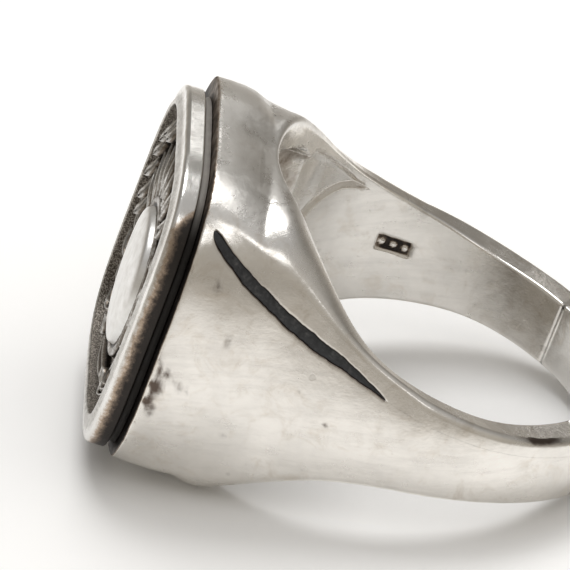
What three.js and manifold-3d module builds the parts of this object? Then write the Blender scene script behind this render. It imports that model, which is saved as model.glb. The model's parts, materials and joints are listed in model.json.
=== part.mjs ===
// Silver signet ring: a cast body with a raised cushion-shaped face plate, an applied
// blank crest in the plate's tray, dark inlaid lines on the shoulders and a replaced
// back section of the shank. Millimetres.
//
// The ring is built standing face up: X across the finger, Y along the finger (the bore's
// axis) and Z out of the face, with the origin on the bore's axis. The last lines lay it on
// its side as it rests on a table.

import * as THREE from 'three';
import { mergeVertices } from 'three/addons/utils/BufferGeometryUtils.js';
import Module from 'manifold-3d';

const wasm = await Module();
wasm.setup();

// ---------------------------------------------------------------- driving dimensions

const BORE_RADIUS = 9.5;
const BORE_EASE = 0.25; // the bore is this much closer to its axis under the head
const GAP = 0.03; // clearance left at every soldered or inlaid face

const HEAD_TOP = 12.5; // height of the cast head's top above the bore's axis

const POCKET_HALF_LENGTH = 6.2; // hollow under the head
const POCKET_HALF_WIDTH = 6.2;
const POCKET_SQUARENESS = 4;
const POCKET_ROOF = 11.3;

const SPACER_THICKNESS = 0.36; // dark spacer that leaves a shadow groove below the plate
const SPACER_INSET = 0.25;

const PLATE_HALF_LENGTH = 8.15;
const PLATE_HALF_WIDTH = 7.65;
const PLATE_SQUARENESS = 3.8;
const PLATE_OFFSET_Y = -0.1; // the plate sits a little off the head's middle
const PLATE_TOP = 14.05;
const PLATE_EDGE_RADIUS = 0.35;
const RIM_WIDTH = 1.25;
const TRAY_DEPTH = 0.75;

const INLAY_DEPTH = 0.35;
const INLAY_HALF_WIDTH = 0.35;
const INLAY_SUNK = 0.04;

// Side of the cast body from the head's top down to the bore's axis. height: above the axis;
// ridge: the crease between the side face and the outer face; crown: the outer face at y = 0;
// edge: half width at the bore's edge, or at x = 0 above the bore; bow: exponents that shape
// the side face and the outer face between those three.
const SHOULDER = [
  { height: 12.5, ridgeX: 6.6, ridgeY: 7.1, crownX: 8.95, edgeY: 7.95, sideBow: 3.7, outerBow: 4.2 },
  { height: 11.0, ridgeX: 7.25, ridgeY: 6.8, crownX: 8.95, edgeY: 7.85, sideBow: 4.0, outerBow: 3.4 },
  { height: 9.5, ridgeX: 7.95, ridgeY: 6.35, crownX: 9.0, edgeY: 7.62, sideBow: 3.4, outerBow: 2.8 },
  { height: 8.2, ridgeX: 8.4, ridgeY: 5.9, crownX: 9.05, edgeY: 7.38, sideBow: 2.1, outerBow: 2.5 },
  { height: 7.3, ridgeX: 8.66, ridgeY: 5.5, crownX: 9.12, edgeY: 6.75, sideBow: 1.5, outerBow: 2.4 },
  { height: 5.4, ridgeX: 9.3, ridgeY: 4.55, crownX: 9.65, edgeY: 5.1, sideBow: 1.3, outerBow: 2.3 },
  { height: 3.6, ridgeX: 9.8, ridgeY: 3.67, crownX: 10.15, edgeY: 3.75, sideBow: 1.2, outerBow: 2.2 },
  { height: 0, ridgeX: 10.63, ridgeY: 2.5, crownX: 10.95, edgeY: 2.45, sideBow: 1.0, outerBow: 2.2 },
];

// Shank from the level of the bore's axis to the solder seams; the back section beyond them
// keeps the last row's section, so its sides are flat. angle: degrees from the face.
const SHANK = [
  { angle: 90, ridgeX: 10.63, ridgeY: 2.5, crownX: 10.95, edgeY: 2.45, sideBow: 1.0, outerBow: 2.2 },
  { angle: 110, ridgeX: 11.05, ridgeY: 1.95, crownX: 11.35, edgeY: 1.85, sideBow: 1.0, outerBow: 2.2 },
  { angle: 130, ridgeX: 11.12, ridgeY: 1.74, crownX: 11.4, edgeY: 1.72, sideBow: 1.0, outerBow: 2.2 },
  { angle: 140, ridgeX: 11.12, ridgeY: 1.7, crownX: 11.4, edgeY: 1.7, sideBow: 1.0, outerBow: 2.2 },
];

const BACK_JOINT_ANGLE = SHANK[SHANK.length - 1].angle;

// Crest, drawn in the plane of the face.
const TRAY_FLOOR = PLATE_TOP - TRAY_DEPTH;
const BOSS_CENTRE_Y = -0.9;
const BOSS_HALF_WIDTH = 3.5;
const BOSS_HALF_HEIGHT = 3.7;
const BOSS_STEP = 0.4; // width and height of the border step around the boss
const BOSS_TOP = 14.25;
const RELIEF_HEIGHT = 0.55;
const PLUME_FEATHERS = 7;
const SPRAY_LEAVES = 6;

// ---------------------------------------------------------------- geometry helpers

const radians = THREE.MathUtils.degToRad;

/** Closed solid from a closed BufferGeometry. */
function solid(geometry) {
  const bare = geometry.clone();
  bare.deleteAttribute('normal');
  bare.deleteAttribute('uv');
  const merged = mergeVertices(bare, 1e-5);
  return new wasm.Manifold(new wasm.Mesh({
    numProp: 3,
    vertProperties: new Float32Array(merged.attributes.position.array),
    triVerts: new Uint32Array(merged.index.array),
  }));
}

/** BufferGeometry from a solid. */
function geometryOf(body) {
  const mesh = body.getMesh();
  const geometry = new THREE.BufferGeometry();
  geometry.setAttribute('position', new THREE.BufferAttribute(new Float32Array(mesh.vertProperties), 3));
  geometry.setIndex(new THREE.BufferAttribute(new Uint32Array(mesh.triVerts), 1));
  geometry.computeVertexNormals();
  return geometry;
}

/** Smooth function through the values that one key takes along a table's stations. */
function along(table, station, key) {
  const rows = [...table].sort((a, b) => a[station] - b[station]);
  const curve = new THREE.CubicInterpolant(rows.map((row) => row[station]), rows.map((row) => row[key]), 1);
  return (at) => curve.evaluate(at)[0];
}

/** Section of the body at one station, from along() functions of a table. */
function sectionsOf(table, station) {
  const keys = ['ridgeX', 'ridgeY', 'crownX', 'edgeY', 'sideBow', 'outerBow'];
  const curves = keys.map((key) => along(table, station, key));
  return (at) => Object.fromEntries(keys.map((key, i) => [key, curves[i](at)]));
}

/**
 * One side of a section, as [x, y] points from the bore's edge on +Y, over the ridge and the
 * crown, to the bore's edge on -Y. inset moves the outer face inwards.
 */
function halfSection(section, edgeX, inset, sideSteps = 5, outerSteps = 6) {
  const { ridgeX, ridgeY, crownX, edgeY, sideBow, outerBow } = section;
  const upper = [];
  for (let i = 0; i < sideSteps; i += 1) {
    const s = i / sideSteps;
    upper.push([edgeX + (ridgeX - edgeX) * s, ridgeY + (edgeY - ridgeY) * (1 - s ** sideBow)]);
  }
  for (let i = 0; i < outerSteps; i += 1) {
    const y = ridgeY * (1 - i / outerSteps);
    upper.push([crownX - (crownX - ridgeX) * (y / ridgeY) ** outerBow, y]);
  }
  const points = [...upper, [crownX, 0], ...upper.map(([x, y]) => [x, -y]).reverse()];
  return points.map(([x, y]) => [x - inset, y]);
}

/** Closed solid between equal loops of points; each end is closed by a fan about its middle. */
function loft(loops) {
  const count = loops[0].length;
  const points = loops.flat();
  const index = [];
  for (let row = 0; row + 1 < loops.length; row += 1) {
    for (let i = 0; i < count; i += 1) {
      const a = row * count + i;
      const b = row * count + ((i + 1) % count);
      index.push(a, b, a + count, b, b + count, a + count);
    }
  }
  for (const [row, flip] of [[0, true], [loops.length - 1, false]]) {
    const middle = new THREE.Vector3();
    loops[row].forEach((point) => middle.addScaledVector(point, 1 / count));
    points.push(middle);
    for (let i = 0; i < count; i += 1) {
      const a = row * count + i;
      const b = row * count + ((i + 1) % count);
      index.push(points.length - 1, flip ? b : a, flip ? a : b);
    }
  }
  const geometry = new THREE.BufferGeometry().setFromPoints(points);
  geometry.setIndex(index);
  return solid(geometry);
}

/** Superellipse outline as points, anticlockwise from +X. */
function superellipse(halfLength, halfWidth, squareness, count = 72) {
  const power = (value) => Math.sign(value) * Math.abs(value) ** (2 / squareness);
  return Array.from({ length: count }, (_, i) => {
    const angle = (i / count) * 2 * Math.PI;
    return new THREE.Vector2(halfLength * power(Math.cos(angle)), halfWidth * power(Math.sin(angle)));
  });
}

/** Upright prism of an outline between two heights. */
function prism(outline, bottom, top) {
  const options = { depth: top - bottom, bevelEnabled: false };
  return solid(new THREE.ExtrudeGeometry(new THREE.Shape(outline), options).translate(0, 0, bottom));
}

/** Upright superellipse prism whose top edge is rounded over. */
function cushion(halfLength, halfWidth, squareness, bottom, top, edgeRadius) {
  const steps = edgeRadius > 0 ? 4 : 0;
  const rings = [[0, bottom]];
  for (let i = 0; i <= steps; i += 1) {
    const turn = steps ? (i / steps) * (Math.PI / 2) : 0;
    rings.push([edgeRadius * (1 - Math.cos(turn)), top - edgeRadius * (1 - Math.sin(turn))]);
  }
  return loft(rings.map(([inset, height]) => superellipse(halfLength - inset, halfWidth - inset, squareness)
    .map((point) => new THREE.Vector3(point.x, point.y, height))));
}

const merge = (solids) => solids.reduce((all, one) => all.add(one));

const mirrorX = (body) => body.scale([-1, 1, 1]);

// ---------------------------------------------------------------- cast body

const shoulderSection = sectionsOf(SHOULDER, 'height');
const shankSection = sectionsOf(SHANK, 'angle');

/** Solid block of the head and shoulders, from the bore's axis up, bore not yet cut. */
function headBlock(inset = 0) {
  const heights = [0, 1.2, 2.4, 3.6, 4.7, 5.8, 6.7, 7.5, 8.1, 8.6, 9, 9.3, 9.5, 10.2, 11, 11.8, HEAD_TOP];
  return loft(heights.map((height) => {
    const edgeX = Math.sqrt(Math.max(0, BORE_RADIUS ** 2 - height ** 2));
    const right = halfSection(shoulderSection(height), Math.max(edgeX, 0.01), inset);
    const left = right.map(([x, y]) => [-x, y]).reverse();
    return [...right, ...left].reverse().map(([x, y]) => new THREE.Vector3(x, y, height));
  }));
}

/** Stretch of the shank on +X between two angles from the face, bore not yet cut. */
function shankStretch(fromAngle, toAngle, steps, inset = 0) {
  const loops = [];
  for (let i = 0; i <= steps; i += 1) {
    const angle = fromAngle + ((toAngle - fromAngle) * i) / steps;
    const section = shankSection(THREE.MathUtils.clamp(angle, SHANK[0].angle, BACK_JOINT_ANGLE));
    const turn = radians(angle);
    const bareEdge = BORE_RADIUS - 0.5;
    const outline = [
      [bareEdge, section.edgeY],
      ...halfSection(section, BORE_RADIUS, inset, 2),
      [bareEdge, -section.edgeY],
    ];
    loops.push(outline.map(([x, y]) => new THREE.Vector3(x * Math.sin(turn), y, x * Math.cos(turn))));
  }
  return loft(loops);
}

/** Radius of the bore at an angle in degrees from the face. */
function boreRadius(angle) {
  return BORE_RADIUS - BORE_EASE * (1 - THREE.MathUtils.smoothstep(Math.abs(angle), 38, 72));
}

const bore = (() => {
  const outline = Array.from({ length: 96 }, (_, i) => {
    const angle = -180 + i * 3.75;
    const radius = boreRadius(angle);
    return new THREE.Vector2(radius * Math.sin(radians(angle)), radius * Math.cos(radians(angle)));
  });
  const bar = new THREE.ExtrudeGeometry(new THREE.Shape(outline), { depth: 40, bevelEnabled: false });
  return solid(bar.translate(0, 0, -20).rotateX(Math.PI / 2));
})();

/** Tapered line on the outer face of a shoulder, as a bar along X; the line runs in Z and Y. */
function inlayBar(halfWidth, endReach) {
  const line = new THREE.CatmullRomCurve3([
    new THREE.Vector3(0, 6.0 + endReach, 11.75 + endReach),
    new THREE.Vector3(0, 4.35, 8.9),
    new THREE.Vector3(0, 3.2, 6.1),
    new THREE.Vector3(0, 2.6, 3.9),
    new THREE.Vector3(0, 1.85 - endReach, 1.8 - endReach),
  ]);
  const sides = [[], []];
  const steps = 16;
  for (let i = 0; i <= steps; i += 1) {
    const at = line.getPointAt(i / steps);
    const tangent = line.getTangentAt(i / steps);
    const reach = halfWidth * (0.12 + 0.88 * Math.sin(Math.PI * (i / steps) ** 0.85) ** 0.7);
    sides[0].push(new THREE.Vector2(at.z + tangent.y * reach, at.y - tangent.z * reach));
    sides[1].push(new THREE.Vector2(at.z - tangent.y * reach, at.y + tangent.z * reach));
  }
  const shape = new THREE.Shape([...sides[0], ...sides[1].reverse()]);
  const bar = new THREE.ExtrudeGeometry(shape, { depth: 6, bevelEnabled: false });
  // the outline's first axis becomes Z, its second Y and the extrusion runs along X
  bar.applyMatrix4(new THREE.Matrix4().makeBasis(
    new THREE.Vector3(0, 0, 1), new THREE.Vector3(0, 1, 0), new THREE.Vector3(-1, 0, 0),
  ));
  return solid(bar.translate(13, 0, 0));
}

function shoulderInlay() {
  return inlayBar(INLAY_HALF_WIDTH, 0).intersect(headBlock(INLAY_SUNK)).subtract(headBlock(INLAY_DEPTH));
}

function ringBody() {
  const arm = shankStretch(90, BACK_JOINT_ANGLE, 10);
  const pocket = prism(
    superellipse(POCKET_HALF_LENGTH, POCKET_HALF_WIDTH, POCKET_SQUARENESS, 48),
    BORE_RADIUS * 0.4,
    POCKET_ROOF,
  );
  const groove = inlayBar(INLAY_HALF_WIDTH + GAP, GAP).subtract(headBlock(INLAY_DEPTH + GAP));
  return merge([headBlock(), arm, mirrorX(arm)]).subtract(merge([bore, pocket, groove, mirrorX(groove)]));
}

function backSection() {
  const trim = THREE.MathUtils.radToDeg(GAP / BORE_RADIUS);
  return shankStretch(BACK_JOINT_ANGLE + trim, 360 - BACK_JOINT_ANGLE - trim, 14).subtract(bore);
}

// ---------------------------------------------------------------- face plate

const SPACER_TOP = HEAD_TOP + GAP + SPACER_THICKNESS;

function spacer() {
  return cushion(
    PLATE_HALF_LENGTH - SPACER_INSET,
    PLATE_HALF_WIDTH - SPACER_INSET,
    PLATE_SQUARENESS,
    HEAD_TOP + GAP,
    SPACER_TOP,
    0,
  ).translate([0, PLATE_OFFSET_Y, 0]);
}

function facePlate() {
  const plate = cushion(
    PLATE_HALF_LENGTH,
    PLATE_HALF_WIDTH,
    PLATE_SQUARENESS,
    SPACER_TOP + GAP,
    PLATE_TOP,
    PLATE_EDGE_RADIUS,
  );
  const tray = prism(
    superellipse(PLATE_HALF_LENGTH - RIM_WIDTH, PLATE_HALF_WIDTH - RIM_WIDTH, PLATE_SQUARENESS),
    TRAY_FLOOR,
    PLATE_TOP + 1,
  );
  return plate.subtract(tray).translate([0, PLATE_OFFSET_Y, 0]);
}

// ---------------------------------------------------------------- crest

const RELIEF_BOTTOM = TRAY_FLOOR + GAP;

/** Outline of the blank shield: a flat-topped egg, its point towards -Y. */
function bossOutline(inset) {
  const count = 48;
  return Array.from({ length: count }, (_, i) => {
    const angle = (i / count) * 2 * Math.PI;
    const up = Math.sin(angle);
    const width = (BOSS_HALF_WIDTH - inset) * (1 + 0.12 * up);
    return new THREE.Vector2(width * Math.cos(angle), BOSS_CENTRE_Y + (BOSS_HALF_HEIGHT - inset) * up);
  });
}

function shieldBoss() {
  const domeSteps = 6;
  const stepTop = RELIEF_BOTTOM + BOSS_STEP;
  const rings = [[0, RELIEF_BOTTOM], [0, stepTop]];
  for (let i = 0; i < domeSteps; i += 1) {
    const rise = Math.sin((i / domeSteps) * (Math.PI / 2));
    const shrink = 1 - Math.cos((i / domeSteps) * (Math.PI / 2));
    const inset = BOSS_STEP + shrink * (BOSS_HALF_WIDTH - BOSS_STEP);
    rings.push([inset, stepTop + rise * (BOSS_TOP - stepTop)]);
  }
  return loft(rings.map(([inset, height]) => bossOutline(inset)
    .map((point) => new THREE.Vector3(point.x, point.y, height))));
}

/** Flat blade between two points of the face: a pointed oval of the given half width. */
function blade(from, to, halfWidth, bottom, top, count = 12) {
  const axis = to.clone().sub(from);
  const side = new THREE.Vector2(-axis.y, axis.x).normalize();
  const edge = (i, sign) => from.clone()
    .addScaledVector(axis, i / count)
    .addScaledVector(side, sign * halfWidth * Math.sin(Math.PI * (i / count)) ** 0.8);
  const outline = [];
  for (let i = 0; i <= count; i += 1) {
    outline.push(edge(i, -1));
  }
  for (let i = count - 1; i > 0; i -= 1) {
    outline.push(edge(i, 1));
  }
  return prism(outline, bottom, top);
}

const polar = (radius, degrees, centreY = 0) => new THREE.Vector2(
  radius * Math.cos(radians(degrees)),
  centreY + radius * Math.sin(radians(degrees)),
);

/** Fan of feathers above the shield, standing on one thin curved base. */
function plume() {
  const feathers = Array.from({ length: PLUME_FEATHERS }, (_, i) => {
    const lean = 90 + (i - (PLUME_FEATHERS - 1) / 2) * 13;
    const root = polar(4.15, lean, BOSS_CENTRE_Y);
    const tip = polar(6.75, lean, BOSS_CENTRE_Y);
    const height = RELIEF_HEIGHT - 0.06 * Math.abs(i - (PLUME_FEATHERS - 1) / 2);
    return blade(root, tip, 0.42, RELIEF_BOTTOM, RELIEF_BOTTOM + height);
  });
  const base = new THREE.Shape();
  base.absarc(0, BOSS_CENTRE_Y, 5.2, radians(52), radians(128));
  base.absarc(0, BOSS_CENTRE_Y, 4.35, radians(128), radians(52), true);
  return merge([...feathers, prism(base.getPoints(24), RELIEF_BOTTOM, RELIEF_BOTTOM + 0.2)]);
}

/** Leaves along a curved stem on the +X side of the shield. */
function leafSpray() {
  const stem = new THREE.Shape();
  stem.absarc(0, BOSS_CENTRE_Y, 4.95, radians(-50), radians(34));
  stem.absarc(0, BOSS_CENTRE_Y, 4.6, radians(34), radians(-50), true);
  const leaves = Array.from({ length: SPRAY_LEAVES }, (_, i) => {
    const angle = -44 + i * 14.5;
    const outward = i % 2 === 0 ? 1.15 : 0.85;
    return blade(
      polar(4.6, angle, BOSS_CENTRE_Y),
      polar(4.85 + outward, angle + 15, BOSS_CENTRE_Y),
      0.36,
      RELIEF_BOTTOM,
      RELIEF_BOTTOM + RELIEF_HEIGHT - 0.1,
    );
  });
  return merge([prism(stem.getPoints(24), RELIEF_BOTTOM, RELIEF_BOTTOM + 0.3), ...leaves]);
}

/** Ribbon scroll below the shield. */
function scroll() {
  const ribbon = new THREE.Shape();
  ribbon.absarc(0, 6.2, 12.05, radians(-102), radians(-78));
  ribbon.absarc(0, 6.2, 11.3, radians(-78), radians(-102), true);
  const curls = [-1, 1].map((side) => solid(new THREE.CylinderGeometry(0.5, 0.5, RELIEF_HEIGHT, 20)
    .rotateX(Math.PI / 2)
    .translate(side * 2.35, -5.3, RELIEF_BOTTOM + RELIEF_HEIGHT / 2)));
  return merge([prism(ribbon.getPoints(12), RELIEF_BOTTOM, RELIEF_BOTTOM + 0.4), ...curls]);
}

// ---------------------------------------------------------------- assembly

const FINISHES = {
  silver: { color: 0xcfcac2, roughness: 0.3, metalness: 1 },
  satinSilver: { color: 0xa9a7a2, roughness: 0.42, metalness: 1 },
  oxidised: { color: 0x24211f, roughness: 0.6, metalness: 0.6 },
  slate: { color: 0x3d4043, roughness: 0.55, metalness: 0.3 },
};

const pieces = {
  ring_body: [ringBody(), 'silver'],
  shank_back_section: [backSection(), 'silver'],
  shadow_spacer: [spacer(), 'oxidised'],
  face_plate: [facePlate(), 'silver'],
  shield_boss: [shieldBoss(), 'silver'],
  plume: [plume(), 'satinSilver'],
  leaf_spray_right: [leafSpray(), 'satinSilver'],
  leaf_spray_left: [mirrorX(leafSpray()), 'satinSilver'],
  scroll_ribbon: [scroll(), 'satinSilver'],
  shoulder_inlay_right: [shoulderInlay(), 'slate'],
  shoulder_inlay_left: [mirrorX(shoulderInlay()), 'slate'],
};

const ring = new THREE.Group();
for (const [name, [body, finish]] of Object.entries(pieces)) {
  const mesh = new THREE.Mesh(geometryOf(body), new THREE.MeshStandardMaterial(FINISHES[finish]));
  mesh.name = name;
  ring.add(mesh);
}

// The ring rests on its lower side: on the outer ridge at the back of the shank, and on the
// point of the head's side that a line from there meets first. That line is level at rest.
const back = SHANK[SHANK.length - 1];
const bodyPoints = ring.getObjectByName('ring_body').geometry.attributes.position;
let restTilt = 0;
for (let i = 0; i < bodyPoints.count; i += 1) {
  if (bodyPoints.getZ(i) > 0) {
    const rise = -bodyPoints.getY(i) - back.ridgeY;
    restTilt = Math.max(restTilt, Math.atan2(rise, bodyPoints.getZ(i) + back.ridgeX));
  }
}
ring.rotation.x = Math.PI / 2 - restTilt;

const assembly = new THREE.Group();
assembly.add(ring);
assembly.updateMatrixWorld(true);
const bounds = new THREE.Box3().setFromObject(assembly, true);
ring.position.set(0, -(bounds.min.y + bounds.max.y) / 2, -bounds.min.z);

export default assembly;
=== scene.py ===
"""Silver signet ring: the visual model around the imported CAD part."""
import json
import math

import bmesh
import bpy
import numpy as np
from mathutils import Matrix, Vector


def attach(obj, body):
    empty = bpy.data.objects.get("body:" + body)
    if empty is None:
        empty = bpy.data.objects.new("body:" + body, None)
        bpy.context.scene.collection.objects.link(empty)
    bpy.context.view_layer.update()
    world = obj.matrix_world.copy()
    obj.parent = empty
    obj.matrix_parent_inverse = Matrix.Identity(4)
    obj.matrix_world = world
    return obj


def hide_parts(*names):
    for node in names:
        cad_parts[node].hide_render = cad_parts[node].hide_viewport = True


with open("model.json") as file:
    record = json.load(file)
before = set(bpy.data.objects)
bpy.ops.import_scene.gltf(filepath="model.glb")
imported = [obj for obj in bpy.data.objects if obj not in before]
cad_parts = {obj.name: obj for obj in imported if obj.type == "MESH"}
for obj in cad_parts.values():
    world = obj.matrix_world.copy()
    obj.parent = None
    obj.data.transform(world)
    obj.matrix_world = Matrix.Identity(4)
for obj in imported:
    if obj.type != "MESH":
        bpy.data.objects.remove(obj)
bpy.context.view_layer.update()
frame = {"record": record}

# ------------------------------------------------------------------ the ring's own frame
# Shapes are made in millimetres with the ring face up: X across the finger, Y along it and
# Z out of the face, the origin on the bore's axis. The face_rim mount lays them in the row.
rim_mount = next(m for m in frame["record"]["mounts"] if m["name"] == "face_rim")
AXIS_Z = np.array(rim_mount["axis"], float)
AXIS_Z /= np.linalg.norm(AXIS_Z)
AXIS_X = np.array([1.0, 0.0, 0.0])
AXIS_Y = np.cross(AXIS_Z, AXIS_X)
PLATE_TOP = 14.05
MOUNT_Y = 6.78
ORIGIN = np.array(rim_mount["pos_m"]) - 0.001 * (MOUNT_Y * AXIS_Y + PLATE_TOP * AXIS_Z)
TO_ROW = 0.001 * np.stack([AXIS_X, AXIS_Y, AXIS_Z])


def to_row(points):
    """Points of the ring's own frame, in millimetres, as metres in the row."""
    return ORIGIN + np.asarray(points, float) @ TO_ROW


# ------------------------------------------------------------------ dimensions
BORE = 9.5
HEAD_TOP = 12.5
BORE_EASE = 0.25
SEAM_ANGLE = 140.0
SEAM_GAP = 0.04
RIDGE_ROUND = 0.34
EDGE_ROUND = 0.16
TOP_ROUND = 0.14
POCKET_X = 6.2
POCKET_ROOF = 11.3
RECESS_DEPTH = 0.32
INLAY_DEPTH = 0.35
INLAY_LIP = 0.07
STAMP_DEPTH = 0.11
# middle of the stamp: arc length along the bore, y
STAMP_AT = (13.94, 0.42)
# height: ridge x, ridge y, crown x, edge y, side bow, outer bow
SHOULDER = np.array([
    [0.0, 10.63, 2.5, 10.95, 2.45, 1.0, 2.2],
    [3.6, 9.8, 3.67, 10.15, 3.75, 1.3, 2.2],
    [5.4, 9.3, 4.55, 9.65, 5.1, 1.8, 2.3],
    [7.3, 8.66, 5.5, 9.12, 6.75, 2.4, 2.4],
    [8.2, 8.4, 5.9, 9.05, 7.38, 3.0, 2.5],
    [9.5, 7.95, 6.35, 9.0, 7.62, 4.0, 2.8],
    [11.0, 7.25, 6.8, 8.95, 7.85, 4.4, 3.4],
    [12.5, 6.6, 7.1, 8.95, 7.95, 3.7, 4.2],
])
# angle from the middle of the face: the same, with radii in place of x
SHANK = np.array([
    [90.0, 10.63, 2.5, 10.95, 2.45, 1.0, 2.2],
    [110.0, 11.05, 1.95, 11.35, 1.85, 1.0, 2.2],
    [130.0, 11.12, 1.74, 11.4, 1.72, 1.0, 2.2],
    [140.0, 11.12, 1.7, 11.4, 1.7, 1.0, 2.2],
])
# what the worn -X, +Y quarter adds, by height: to the ridge's y, the edge's y, the side bow
FAR = np.array([
    [0.0, 0.17, 0.17, 0.0], [1.0, 0.2, 0.2, 0.0], [2.0, 0.23, 0.22, 0.0], [3.0, 0.22, 0.2, 0.0],
    [4.0, 0.12, 0.12, 0.0], [5.0, 0.0, 0.04, -0.4], [5.6, -0.02, 0.0, -0.6],
    [6.2, -0.08, 0.02, -0.9], [6.8, -0.14, 0.04, -1.1], [7.4, -0.2, 0.06, -1.3],
    [8.0, -0.2, 0.12, -1.6], [8.6, -0.14, 0.2, -1.9], [9.2, 0.0, 0.26, -1.9],
    [9.8, 0.14, 0.28, -1.6], [10.4, 0.28, 0.28, -1.0], [11.0, 0.36, 0.22, -0.9],
    [11.6, 0.38, 0.16, -0.5], [12.5, 0.38, 0.12, 0.0],
])
# the inlaid line on a shoulder: height, y of its middle, half width
INLAY_LINE = np.array([
    [1.84, 1.87, 0.02], [2.75, 2.21, 0.13], [3.89, 2.60, 0.24], [4.98, 2.89, 0.31],
    [6.07, 3.16, 0.35], [7.50, 3.67, 0.33], [8.88, 4.34, 0.34], [10.20, 5.02, 0.31],
    [11.30, 5.74, 0.26], [11.72, 6.05, 0.21], [11.92, 6.20, 0.10],
])


def spline(table):
    """Natural cubic spline through the rows of a table, by its first column."""
    x, v = table[:, 0], table[:, 1:]
    n = len(x)
    h = np.diff(x)
    a = np.zeros((n, n))
    b = np.zeros((n, v.shape[1]))
    a[0, 0] = a[-1, -1] = 1.0
    for i in range(1, n - 1):
        a[i, i - 1:i + 2] = h[i - 1], 2 * (h[i - 1] + h[i]), h[i]
        b[i] = 6 * ((v[i + 1] - v[i]) / h[i] - (v[i] - v[i - 1]) / h[i - 1])
    m = np.linalg.solve(a, b)

    def at(t):
        t = np.clip(np.asarray(t, float), x[0], x[-1])
        i = np.clip(np.searchsorted(x, t, side="right") - 1, 0, n - 2)
        lo, hi = (t - x[i])[..., None], (x[i + 1] - t)[..., None]
        step = h[i][..., None]
        return (m[i] * hi ** 3 + m[i + 1] * lo ** 3) / (6 * step) \
            + (v[i] / step - m[i] * step / 6) * hi + (v[i + 1] / step - m[i + 1] * step / 6) * lo
    return at


shoulder = spline(SHOULDER)
shank = spline(SHANK)
inlay_line = spline(INLAY_LINE)


def smooth(a, b, x):
    """Smooth step from 0 where x is a to 1 where x is b."""
    t = np.clip((np.asarray(x, float) - a) / (b - a), 0, 1)
    return t * t * (3 - 2 * t)


def bore_radius(angle):
    return BORE - BORE_EASE * (1 - smooth(38, 72, angle))


def lit_side(turn):
    """1 along the +Y side, where the black is painted lighter, as light falls there; turn is in
    degrees from +X.
    """
    return smooth(35, 50, turn) * smooth(145, 130, turn)


def wave(t, seed, scale=1.0):
    """Smooth wandering value in about -1..1 along t, the same on every run."""
    t = np.asarray(t, float) / scale
    return (np.sin(1.7 * t + seed) + 0.6 * np.sin(3.9 * t + 2.3 * seed + 1)
            + 0.4 * np.sin(8.3 * t + 5.1 * seed + 2)) / 2.0


def side_y(x, z, shank_angle=None, far=False):
    """Half width of the side face over the point (x, z) of the ring's plane."""
    if shank_angle is not None:
        rx, ry, _, ey, bow, _ = np.moveaxis(shank(shank_angle), -1, 0)
        s = np.clip((np.hypot(x, z) - BORE) / (rx - BORE), 0, 1)
        lift = lift_of(0.0, shank_angle, far)
        ry, ey = ry + lift, ey + lift
        return ry + (ey - ry) * (1 - s ** bow)
    rx, ry, _, ey, bow, _ = np.moveaxis(shoulder(z), -1, 0)
    edge = np.sqrt(np.maximum(BORE ** 2 - z ** 2, 0))
    s = np.clip((np.abs(x) - edge) / (rx - edge), 0, 1)
    if far:
        away = smooth(0, 3.5, np.abs(x))
        ry = ry + far_ridge(z) * away
        ey = ey + np.interp(z, FAR[:, 0], FAR[:, 2]) * away
        bow = bow + np.interp(z, FAR[:, 0], FAR[:, 3]) * away
    return ry + (ey - ry) * (1 - s ** bow)


def far_ridge(z):
    """What the worn quarter adds to the ridge's y."""
    return np.interp(z, FAR[:, 0], FAR[:, 1])


def lift_of(height, angle, far):
    """How much higher the +Y ridge of the worn quarter lies than the -Y ridge."""
    if not far:
        return 0.0 * np.asarray(angle, float)
    return np.where(np.asarray(angle) <= 90.0, far_ridge(height),
                    FAR[0, 1] * smooth(125, 90, angle))


def outer_x(y, params, lift=0.0):
    """How far out the outer face lies at y: x on the head, radius on the shank."""
    rx, ry, cx, _, _, bow = params
    return cx - (cx - rx) * (np.abs(y) / np.where(np.asarray(y) > 0, ry + lift, ry)) ** bow


# ------------------------------------------------------------------ mesh building
class Shell:
    """Collects grids of points into one mesh, with values painted on the vertices."""

    def __init__(self, *channels):
        self.points, self.faces, self.channels = [], [], {c: [] for c in channels}
        self.count = 0

    def grid(self, points, wrap=False, **paint):
        """Rows of points joined by quads; wrap joins the last column to the first."""
        rows, cols = points.shape[:2]
        index = self.count + np.arange(rows * cols).reshape(rows, cols)
        if wrap:
            index = np.concatenate([index, index[:, :1]], axis=1)
        a, b, c, d = index[:-1, :-1], index[:-1, 1:], index[1:, 1:], index[1:, :-1]
        quads = np.stack([a, b, c, d], -1).reshape(-1, 4)
        self.points.append(points.reshape(-1, 3))
        self.faces.extend(quads.tolist())
        for name, values in self.channels.items():
            value = paint.get(name, 0.0)
            values.append(np.broadcast_to(value, (rows, cols)).reshape(-1).astype(float))
        self.count += rows * cols

    def cap(self, loop, rings=1, **paint):
        """Fills a closed loop of points down to its middle."""
        t = np.linspace(0, 1, rings + 1)[:, None, None]
        closing = np.concatenate([loop, loop[:1]])
        self.grid(closing * (1 - t) + loop.mean(axis=0) * t, **paint)

    def build(self, name, weld=0.0006):
        """The piece made of all grids; points within weld millimetres become one."""
        points = np.concatenate(self.points)
        mesh = bpy.data.meshes.new(name)
        mesh.from_pydata(to_row(points).tolist(), [], self.faces)
        for channel, values in self.channels.items():
            layer = mesh.attributes.new(channel, "FLOAT", "POINT")
            layer.data.foreach_set("value", np.concatenate(values).astype(np.float32))
        bm = bmesh.new()
        bm.from_mesh(mesh)
        bmesh.ops.remove_doubles(bm, verts=bm.verts, dist=weld * 0.001)
        bmesh.ops.dissolve_degenerate(bm, dist=1e-8, edges=bm.edges)
        bmesh.ops.recalc_face_normals(bm, faces=bm.faces)
        for face in bm.faces:
            face.smooth = True
        bm.to_mesh(mesh)
        bm.free()
        piece = bpy.data.objects.new(name, mesh)
        bpy.context.scene.collection.objects.link(piece)
        return piece


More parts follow.
